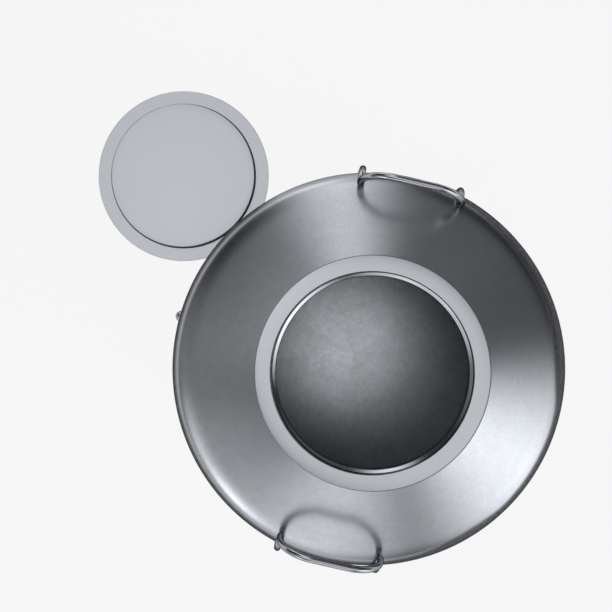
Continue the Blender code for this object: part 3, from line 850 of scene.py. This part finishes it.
def footBeads(name, direction):
    # Four short beads, one on each side of both feet of a handle, in the corner between wire and wall.
    # They taper as the root of one less the fourth power of the way from the middle.
    wire = handle["wire"] / 2
    track = drum["radius"] + drum["seamGap"] + wire
    count = 60
    along = np.linspace(-1.0, 1.0, count)
    height = edgeZ - handle["foot"] + 0.009 + along * 0.0065
    taper = np.sqrt(np.clip(1 - along ** 4, 0.0, 1.0))
    swell = rippled(0.0013, 0.15, along * 14.0) * taper
    swell[[0, -1]] = 0.0
    meshes = []
    for foot in (1.0, -1.0):
        for edge in (1.0, -1.0):
            bearing = math.asin(foot * handle["halfSpan"] / track) + edge * (wire * 0.82) / drum["radius"]
            reach = drum["radius"] + 0.0004
            x, y = reach * math.cos(bearing), reach * math.sin(bearing)
            path = np.stack([np.full(count, x), np.full(count, y), height], -1)
            side = np.tile((-math.sin(bearing), math.cos(bearing), 0.0), (count, 1))
            meshes.append(tubeMesh("bead", path, swell, side, 12))
    joined = joinMeshes(name, meshes)
    joined.transform(Matrix.Rotation(0.0 if direction > 0 else math.pi, 4, "Z"))
    addPiece(name, joined, weldBead, "drum", None)


def joinMeshes(name, meshes):
    # One mesh that holds all of them, one after the other.
    whole = bmesh.new()
    for mesh in meshes:
        whole.from_mesh(mesh)
        bpy.data.meshes.remove(mesh)
    joined = bpy.data.meshes.new(name)
    whole.to_mesh(joined)
    whole.free()
    return joined


seamBead = drum["radius"] - 0.00075
ringBead("shoulder_seam_weld", seamBead, topSeam - 0.00015, 0.0007, 360, 0.10, 1440)
ringBead("bottom_seam_weld", seamBead, bottomSeam + 0.00015, 0.0007, 360, 0.10, 1440)
ringBead("neck_seam_weld", shoulderHole + 0.0004, neckSeam + 0.0005, 0.0013, 180, 0.14, 1080)
socketBead()
footBeads("right_foot_welds", 1.0)
footBeads("left_foot_welds", -1.0)
print("welds ready")


# Lid: flat plate and shallow plug, lying with the plug upward

lid = {
    "bearing": math.radians(236.5),
    "spacing": 0.0135,
    "plate": 0.0012,
    "plugClearance": 0.0004,
    "plugDraft": 0.0016,
    "plugHeight": 0.0075,
    "plugEdge": 0.0008,
    "plugSheet": 0.0008,
    "rimWidth": 0.0155,
}
plugBase = counterbore - lid["plugClearance"]
lidRadius = plugBase + lid["rimWidth"]
lidDistance = drum["radius"] + lid["spacing"] + lidRadius
lidCentre = (lidDistance * math.cos(lid["bearing"]), lidDistance * math.sin(lid["bearing"]), 0.0)
lidLook = dict(flatLook, Centre=lidCentre)
lidSteel = metalMaterial("lidSteel", lidLook, sheetGlance)


def plugWallMask(tree, place):
    # The drawn wall of the plug carries painted shade, dark and dull, standing in for its dark reflection,
    # up to where its rounding meets the flat disc.
    top = lid["plate"] + drum["seamGap"] + lid["plugHeight"]
    return rangeNode(tree, place[2], top - 0.0001, top - 0.0005, 0.0, 0.7)


plugLook = dict(lidLook, Base=(0.483, 0.500, 0.525, 1.0), Tint=(0.478, 0.494, 0.532, 1.0), Roughness=0.31)
plugSteel = metalMaterial("plugSteel", plugLook, sheetGlance, shadeMask=plugWallMask)


def makeLidPlate():
    # A flat disc with rounded edges.
    corners = [(0.0, lid["plate"]), (lidRadius, lid["plate"]), (lidRadius, 0.0), (0.0, 0.0)]
    plate = latheMesh("lid_sheet", corners, 0.0005, ringSteps, guard=0.00025)
    moved(plate, Matrix.Translation(lidCentre))
    addPiece("lid_sheet", plate, lidSteel, "lid", "lid_plate")


def makeLidPlug():
    # Flat disc, quarter arc and drafted wall as the outer line, and the sheet's thickness inside it.
    foot = lid["plate"] + drum["seamGap"]
    top = foot + lid["plugHeight"]
    wall = plugBase - lid["plugDraft"]
    bend = np.linspace(math.pi / 2, 0.0, 13)
    edge = (wall, top) - lid["plugEdge"] * (1 - np.stack([np.cos(bend), np.sin(bend)], -1))
    flat = np.stack([np.linspace(0.0, wall - lid["plugEdge"], 12)[:-1], np.full(11, top)], -1)
    outside = np.vstack([flat, edge, [(plugBase, foot)]])
    inside = insetLine(outside, lid["plugSheet"])
    inside[0] = (0.0, top - lid["plugSheet"])
    inside[-1] = (plugBase - lid["plugSheet"], foot)
    outline = np.vstack([outside, inside[::-1]])
    plug = turnedMesh("lid_plug_pan", outline, ringSteps, closed=False)
    moved(plug, Matrix.Translation(lidCentre))
    addPiece("lid_plug_pan", plug, plugSteel, "lid", "lid_plug")


makeLidPlate()
makeLidPlug()
print("lid ready")


# Stopcock

tap = {
    "height": drum["tapHeight"],
    "socketRadius": 0.013,
    "socketBore": 0.0082,
    "socketInside": 0.004,
    "socketOutside": 0.004,
    "seal": 0.001,
    "hexagon": 0.020,
    "hexLength": 0.0045,
    "tube": 0.006,
    "plug": 0.0042,
    "clearance": 0.0003,
    "barrelWall": 0.002,
    "barrelHeight": 0.023,
    "spoutSpacing": 0.00515,
    "spout": 0.00635,
    "spoutEnd": 0.005,
    "spoutDrop": 0.021,
    "bore": 0.003,
    "collarWidth": 0.002,
    "collarHeight": 0.0018,
    "stem": 0.003,
    "stemHeight": 0.0074,
    "stub": 0.0019,
    "stubLength": 0.0066,
    "leverLength": 0.028,
    "leverBar": 0.003,
    "leverHub": 0.0054,
    "ringRise": 0.0066,
    "ringGroove": 0.0013,
    "ringSection": 0.0005,
    "barrelBand": 0.0022,
    "barrelStep": 0.0028,
    "waistDepth": 0.14,
    "waistPlace": 0.0085,
    "waistWidth": 0.0020,
    "washer": 0.0008,
    "springWasher": 0.0009,
    "nut": 0.0026,
    "nutFlats": 0.007,
    "halfSlot": 0.00045,
    "screwHole": 0.0016,
    "screwThread": 0.0013,
    "screwHead": 0.0036,
}
gap = drum["seamGap"]
sealStart = tap["socketOutside"] + gap
hexStart = sealStart + tap["seal"] + gap
plugBore = tap["plug"] + tap["clearance"]
barrelRadius = plugBore + tap["barrelWall"]
barrelReach = hexStart + tap["hexLength"] + barrelRadius - 0.0001
spoutReach = barrelReach + barrelRadius + tap["spoutSpacing"]
barrelTop = tap["height"] + tap["barrelHeight"] / 2
barrelFoot = tap["height"] - tap["barrelHeight"] / 2
collarFoot = barrelTop + gap
stemFoot = collarFoot + tap["collarHeight"]
stemTop = stemFoot + tap["stemHeight"]
grooveRoot = tap["plug"] - tap["ringGroove"]
ringHeights = (tap["height"] + tap["ringRise"], tap["height"] - tap["ringRise"])


def outward(reach=0.0):
    # Turns a shape's Z axis to point out of the wall at the tap's height.
    place = Matrix.Translation((0.0, -(drum["radius"] + reach), tap["height"]))
    return place @ Matrix.Rotation(math.pi / 2, 4, "X")


def upright(reach):
    # Shifts a shape out past the wall and leaves it standing.
    return Matrix.Translation((0.0, -(drum["radius"] + reach), 0.0))


def addKeyPiece(name, mesh, material, node):
    # A piece on the plug's axis, which turns with the tap's key.
    addPiece(name, moved(mesh, upright(barrelReach)), material, "tap_key", node)


def darker(colour, share):
    # Each channel times the share.
    return tuple(channel * share for channel in colour[:3]) + (1.0,)


def platedMaterial(name, base, roughness, cloud):
    # Plated casting: bright skin with soft casting waves and dull handling marks, darker where it turns
    # away from the eye.
    look = {"Base": base, "Tint": darker(base, 0.94), "Roughness": roughness, "Cloud Scale": 120.0,
            "Cloud": cloud, "Speckle": 0.06, "Lines": 0.0, "Bump": 0.10}
    return metalMaterial(name, look, (0.15, 0.15, 0.16, 1.0))


def softMaterial(name, base, roughness, specular, scale):
    # Sealing materials: faint mould mottling and a matt, slightly uneven skin.
    material, tree, shader = startMaterial(name, 0.0)
    shader.inputs["Specular IOR Level"].default_value = specular
    mottle = noiseNode(tree, placeOf(tree), scale, 4.0)
    colour = mixColours(tree, rangeNode(tree, mottle, 0.3, 0.7), darker(base, 0.8), base)
    rough = rangeNode(tree, mottle, 0.2, 0.8, roughness - 0.08, roughness + 0.08)
    bump = addNode(tree, "ShaderNodeBump", {"Strength": 0.2, "Distance": 0.0001, "Height": mottle})
    linkFinish(tree, shader, colour, rough, bump.outputs[0])
    return material


platedBrass = platedMaterial("platedBrass", (0.46, 0.46, 0.48, 1.0), 0.20, 0.08)
turnedSteel = platedMaterial("turnedSteel", (0.50, 0.51, 0.53, 1.0), 0.28, 0.12)
socketSteel = platedMaterial("socketSteel", (0.55, 0.56, 0.58, 1.0), 0.30, 0.10)
whiteSeal = softMaterial("whiteSeal", (0.86, 0.86, 0.83, 1.0), 0.50, 0.4, 300.0)
blackRubber = softMaterial("blackRubber", (0.03, 0.03, 0.03, 1.0), 0.60, 0.35, 700.0)


def makeSocketAndSeal():
    # Two flat rings round the tap's axis.
    bore, rim = tap["socketBore"], tap["socketRadius"]
    outline = ringOutline(bore, rim, -tap["socketInside"], tap["socketOutside"], 0.0004)
    socket = moved(turnedMesh("tap_socket_ring", outline, 128), outward())
    addPiece("tap_socket_ring", socket, socketSteel, "drum", "tap_socket")
    outline = ringOutline(bore, rim - 2 * gap, 0.0, tap["seal"], 0.0003)
    seal = moved(turnedMesh("tap_seal_washer", outline, 128), outward(sealStart))
    addPiece("tap_seal_washer", seal, whiteSeal, "drum", "tap_seal")


def makeTapBody():
    # Tail, hexagon, neck tube, plug barrel and domed spout joined, then bored through.
    hexEnd = hexStart + tap["hexLength"]
    tail = tap["socketBore"] - 0.0004
    thin, thick = tap["tube"] - 0.0006, tap["tube"] + 0.0016
    inHex = hexStart + 0.002
    tailEnd = -tap["socketInside"] / 2
    corners = [(0.0, spoutReach), (thin, spoutReach), (thin, hexEnd + 0.0022), (thick, hexEnd),
               (thick, inHex), (tail, inHex), (tail, tailEnd), (0.0, tailEnd)]
    body = latheMesh("tap_casting", corners, [0, 0, 0.0012, 0.0004, 0, 0, 0.0006, 0], 96)
    hexagon = hexagonMesh("tap_hex", tap["hexagon"], hexStart, hexEnd, 0.0)
    waist = barrelRadius - 0.0006
    band, step = tap["barrelBand"], tap["barrelStep"]
    corners = [(0.0, barrelTop), (barrelRadius, barrelTop), (barrelRadius, barrelTop - band),
               (waist, barrelTop - step), (waist, barrelFoot + step),
               (barrelRadius, barrelFoot + band), (barrelRadius, barrelFoot), (0.0, barrelFoot)]
    barrel = latheMesh("tap_barrel", corners, [0, 0.0004] + [0.0003] * 4 + [0.0004, 0], 96)
    dome = np.linspace(math.pi / 2, 0.0, 14)
    top = np.stack([tap["spout"] * np.cos(dome), tap["height"] + tap["spout"] * np.sin(dome)], -1)
    foot = tap["height"] - tap["spoutDrop"]
    end = tap["spoutEnd"]
    corners = [top[-1], (end - 0.0002, foot + 0.0035), (end + 0.0005, foot + 0.0026), (end, foot),
               (0.0, foot)]
    low = roundedOutline(corners, [0, 0.0005, 0.0004, 0.0004, 0], closed=False, guard=0.0001)
    spout = turnedMesh("tap_spout", np.vstack([top, low[1:]]), 96, closed=False)
    upBarrel = upright(barrelReach)
    upSpout = upright(spoutReach)
    past = tap["bore"] / 3
    seat = rodMesh("tap_seat", plugBore, barrelFoot - 0.01, barrelTop + 0.01, 92)
    way = rodMesh("tap_way", tap["bore"], -0.01, spoutReach + past, 60)
    drop = rodMesh("tap_drop", tap["bore"] + 0.00002, foot - 0.01, tap["height"] + past, 68)
    mesh = carved(moved(body, outward()), [
        (moved(hexagon, outward()), "UNION"),
        (moved(barrel, upBarrel), "UNION"),
        (moved(spout, upSpout), "UNION"),
        (moved(seat, upBarrel), "DIFFERENCE"),
        (moved(way, outward()), "DIFFERENCE"),
        (moved(drop, upSpout), "DIFFERENCE"),
    ])
    addPiece("tap_casting", mesh, platedBrass, "drum", "tap_body")


def makeTapPlug():
    # Stem, collar, plug with two ring grooves and threaded end by their corners, then the cross port and
    # the screw's hole cut out.
    halfGroove = tap["ringSection"] + gap
    collar = tap["plug"] + tap["collarWidth"]
    corners = [(0.0, stemTop), (tap["stem"], stemTop), (tap["stem"], stemFoot), (collar, stemFoot),
               (collar, collarFoot), (tap["plug"], collarFoot)]
    for height in ringHeights:
        corners += [(tap["plug"], height + halfGroove), (grooveRoot, height + halfGroove),
                    (grooveRoot, height - halfGroove), (tap["plug"], height - halfGroove)]
    corners += [(tap["plug"], barrelFoot + gap), (tap["stub"], barrelFoot + gap),
                (tap["stub"], barrelFoot - tap["stubLength"]), (0.0, barrelFoot - tap["stubLength"])]
    plug = latheMesh("tap_plug_turned", corners, 0.00015, 80, arcSteps=3, guard=0.00008)
    port = rodMesh("plug_port", tap["bore"], -0.012, 0.012, 44)
    moved(port, Matrix.Rotation(math.pi / 2, 4, "Y"), Matrix.Translation((0.0, 0.0, tap["height"])))
    hole = rodMesh("plug_hole", tap["screwHole"], stemTop - 0.0053, stemTop + 0.005, 36)
    mesh = carved(plug, [(port, "DIFFERENCE"), (hole, "DIFFERENCE")])
    addKeyPiece("tap_plug_turned", mesh, turnedSteel, "tap_plug")


def makePlugRings():
    # A circle carried round the plug in each groove.
    section = tap["ringSection"]
    ringRadius = grooveRoot + gap + section
    angle = np.linspace(math.pi / 2, -3 * math.pi / 2, 20, endpoint=False)
    for level, height in zip(("upper", "lower"), ringHeights):
        name = level + "_plug_ring"
        outline = np.stack([ringRadius + section * np.cos(angle), height + section * np.sin(angle)], -1)
        addKeyPiece(name, turnedMesh(name, outline, 64), blackRubber, "tap_oring_" + level)


def makeLever():
    # A round rod along X with ball ends: its radius follows the ball's circle at the ends, and dips by a
    # bell curve beside the hub.
    hubFoot, hubTop = stemFoot + gap, stemTop - gap
    middle = (hubFoot + hubTop) / 2
    length = tap["leverLength"] / 2
    bar = tap["leverBar"]
    along = length * np.cos(math.pi * np.linspace(0.0, 1.0, 60))
    ball = bar * np.sqrt(np.clip(1 - ((np.abs(along) - (length - bar)).clip(0) / bar) ** 2, 0.0, 1.0))
    offWaist = (np.abs(along) - tap["waistPlace"]) / tap["waistWidth"]
    waist = 1 - tap["waistDepth"] * np.exp(-offWaist ** 2)
    outline = np.stack([ball * waist, along], -1)
    outline[[0, -1], 0] = 0.0
    lever = turnedMesh("tap_lever_bar", outline, 48, closed=False)
    moved(lever, Matrix.Rotation(math.pi / 2, 4, "Y"), Matrix.Translation((0.0, 0.0, middle)))
    hub = rodMesh("lever_hub", tap["leverHub"], hubFoot, hubTop, 70, 0.0008)
    bore = rodMesh("lever_bore", tap["stem"] + gap, hubFoot - 0.005, hubTop + 0.005, 54)
    mesh = carved(lever, [(hub, "UNION"), (bore, "DIFFERENCE")])
    addKeyPiece("tap_lever_bar", mesh, platedBrass, "tap_lever")


def makeLeverScrew():
    # A turned head and thread by their corners, with the slot cut across.
    headFoot = stemTop + gap
    headTop = headFoot + 0.0016
    head, thread, screwEnd = tap["screwHead"], tap["screwThread"], stemTop - 0.005
    corners = [(0.0, headTop), (head - 0.0008, headTop), (head, headTop - 0.0008), (head, headFoot),
               (thread, headFoot), (thread, screwEnd), (0.0, screwEnd)]
    radii = [0, 0.0003, 0.0002, 0.0001, 0.0001, 0.0002, 0]
    screw = latheMesh("lever_screw", corners, radii, 64, arcSteps=4, guard=0.00008)
    half = tap["halfSlot"]
    slot = boxTool("screw_slot", (-0.006, -half, headTop - 0.0007), (0.006, half, headTop + 0.001))
    mesh = carved(screw, [(slot, "DIFFERENCE")])
    addKeyPiece("lever_screw", mesh, turnedSteel, "tap_lever_screw")


def makeFastening():
    # Flat washer, spring washer and nut under the barrel, each the shared gap below the last.
    hole = tap["stub"] + gap
    washerTop = barrelFoot - gap
    washerFoot = washerTop - tap["washer"]
    springTop = washerFoot - gap
    springFoot = springTop - tap["springWasher"]
    nutTop = springFoot - gap
    nutFoot = nutTop - tap["nut"]
    outline = ringOutline(hole, plugBore + 0.0009, washerFoot, washerTop, 0.0002)
    washer = turnedMesh("plug_washer", outline, 72)
    addKeyPiece("plug_washer", washer, turnedSteel, "tap_plug_washer")
    spring = turnedMesh("split_washer", ringOutline(hole, 0.004, springFoot, springTop, 0.00015), 64)
    half = tap["halfSlot"]
    split = boxTool("split_cut", (0.0, -half, springFoot - 0.001), (0.008, half, springTop + 0.001))
    mesh = carved(spring, [(split, "DIFFERENCE")])
    addKeyPiece("split_washer", mesh, turnedSteel, "tap_spring_washer")
    nut = hexagonMesh("plug_nut", tap["nutFlats"], nutFoot, nutTop, hole, 180)
    moved(nut, Matrix.Rotation(math.pi / 6, 4, "Z"))
    addKeyPiece("plug_nut", nut, turnedSteel, "tap_plug_nut")


makeSocketAndSeal()
makeTapBody()
makeTapPlug()
makePlugRings()
makeLever()
makeLeverScrew()
makeFastening()
print("stopcock ready")


# Stage: pale floor, studio lights, camera straight above

stage = {
    "floorSize": 6.0,
    "paleColour": (0.93, 0.93, 0.93, 1.0),
    "glowColour": (0.955, 0.955, 0.955, 1.0),
    "shadowShare": 0.08,
    "skyDark": 0.02,
    "cameraPlace": (-0.0447, -0.0707, 1.230),
    "cameraTurn": math.radians(102.75),
    "lens": 58.82,
    "lampDistance": 2.2,
    "aimHeight": 0.25,
    "skyFoot": 0.03,
    "skyTop": 0.13,
}


def makeFloor():
    # A pale floor. To camera and mirror rays it is mostly a steady glow with a small share of real shade,
    # and to all others a matt surface.
    half = stage["floorSize"]
    mesh = bpy.data.meshes.new("floor")
    low = -0.0002
    corners = [(-half, -half, low), (half, -half, low), (half, half, low), (-half, half, low)]
    mesh.from_pydata(corners, [], [(0, 1, 2, 3)])
    floor = newObject("floor", mesh)
    material = bpy.data.materials.new("paleFloor")
    material.use_nodes = True
    tree = material.node_tree
    tree.nodes.clear()
    plain = addNode(tree, "ShaderNodeBsdfDiffuse", {"Color": stage["paleColour"]})
    glow = addNode(tree, "ShaderNodeEmission", {"Color": stage["glowColour"]})
    path = addNode(tree, "ShaderNodeLightPath").outputs
    seen = mathNode(tree, "ADD", path["Is Camera Ray"], path["Is Glossy Ray"])
    seen = mathNode(tree, "ADD", seen, path["Is Transmission Ray"], clamp=True)
    share = timesNode(tree, seen, 1 - stage["shadowShare"])
    mix = addNode(tree, "ShaderNodeMixShader", {0: share, 1: plain.outputs[0], 2: glow.outputs[0]})
    addNode(tree, "ShaderNodeOutputMaterial", {0: mix.outputs[0]})
    mesh.materials.append(material)


def makeSky():
    # Pale up to the horizon and dark overhead, as in a studio with a low white surround.
    world = bpy.data.worlds.new("studio")
    bpy.context.scene.world = world
    world.use_nodes = True
    tree = world.node_tree
    split = splitOf(tree, addNode(tree, "ShaderNodeTexCoord").outputs["Generated"])
    lift = rangeNode(tree, split[2], stage["skyFoot"], stage["skyTop"], 1.0, 0.0)
    dark = (stage["skyDark"], stage["skyDark"], stage["skyDark"] * 1.05, 1.0)
    sky = mixColours(tree, lift, dark, stage["paleColour"])
    feed(tree, sky, tree.nodes["Background"].inputs["Color"])


def softbox(name, imageBearing, zenith, width, height, brightness):
    # imageBearing is measured clockwise from the right of the picture, zenith from straight up. A grid
    # before the cloth lets its light fade from the middle to the sides, so reflections have no hard edge.
    # The power is the brightness times the area, times one less the fade angle over its tangent.
    reach = stage["lampDistance"]
    bearing = stage["cameraTurn"] - math.radians(imageBearing)
    tilt = math.radians(zenith)
    level = Vector((math.cos(bearing), math.sin(bearing), 0.0))
    place = (level * math.sin(tilt) + Vector((0.0, 0.0, 1.0)) * math.cos(tilt)) * reach
    data = bpy.data.lights.new(name, "AREA")
    data.shape = "RECTANGLE"
    data.size = width
    data.size_y = height
    fade = math.atan(width / 2 / reach)
    data.spread = 2 * fade
    data.energy = brightness * width * height * (1 - fade / math.tan(fade))
    lamp = newObject(name, data)
    lamp.location = place + Vector((0.0, 0.0, stage["aimHeight"]))
    lamp.rotation_euler = (-place).to_track_quat("-Z", "Y").to_euler()
    lamp.visible_camera = False


# Each lamp's name, bearing in the picture, zenith, width, height and brightness
lamps = (
    ("overhead", 190.0, 1.5, 2.0, 1.6, 3.18),
    ("highRight", 34.0, 22.0, 2.4, 1.7, 3.5),
    ("highLeft", 212.0, 22.0, 2.4, 1.7, 4.4),
    ("keyHigh", 36.0, 43.0, 2.3, 1.6, 2.6),
    ("lowerFill", 90.0, 43.0, 1.8, 1.6, 2.9),
    ("leftFill", 170.0, 43.0, 1.4, 1.6, 0.4),
    ("topStrip", 264.0, 43.0, 1.4, 1.6, 4.6),
    ("rightFill", 318.0, 38.0, 3.0, 1.4, 0.7),
    ("keyLow", 34.0, 64.0, 2.8, 1.7, 7.8),
    ("lowerGap", 74.0, 62.0, 1.3, 1.5, 0.7),
    ("lowerLow", 108.0, 64.0, 2.6, 1.7, 5.0),
    ("leftLow", 148.0, 64.0, 1.7, 1.7, 5.2),
    ("farLeftLow", 182.0, 64.0, 2.4, 1.7, 1.1),
    ("topLow", 264.0, 64.0, 1.7, 1.7, 5.8),
    ("skirtRight", 40.0, 82.0, 3.2, 0.6, 2.4),
    ("skirtLower", 131.0, 68.0, 1.0, 1.0, 10.0),
    ("skirtTop", 254.0, 83.0, 1.4, 0.6, 6.0),
)


def makeCamera():
    # Straight above the floor, turned so that the picture's right is the photograph's.
    data = bpy.data.cameras.new("overheadCamera")
    data.lens = stage["lens"]
    data.sensor_width = 36.0
    data.clip_start = 0.01
    camera = newObject("overheadCamera", data)
    camera.location = stage["cameraPlace"]
    camera.rotation_euler = (0.0, 0.0, stage["cameraTurn"])
    bpy.context.scene.camera = camera


makeFloor()
makeSky()
for lampValues in lamps:
    softbox(*lampValues)
makeCamera()
bpy.context.scene.view_settings.view_transform = "Standard"
print("stage ready")
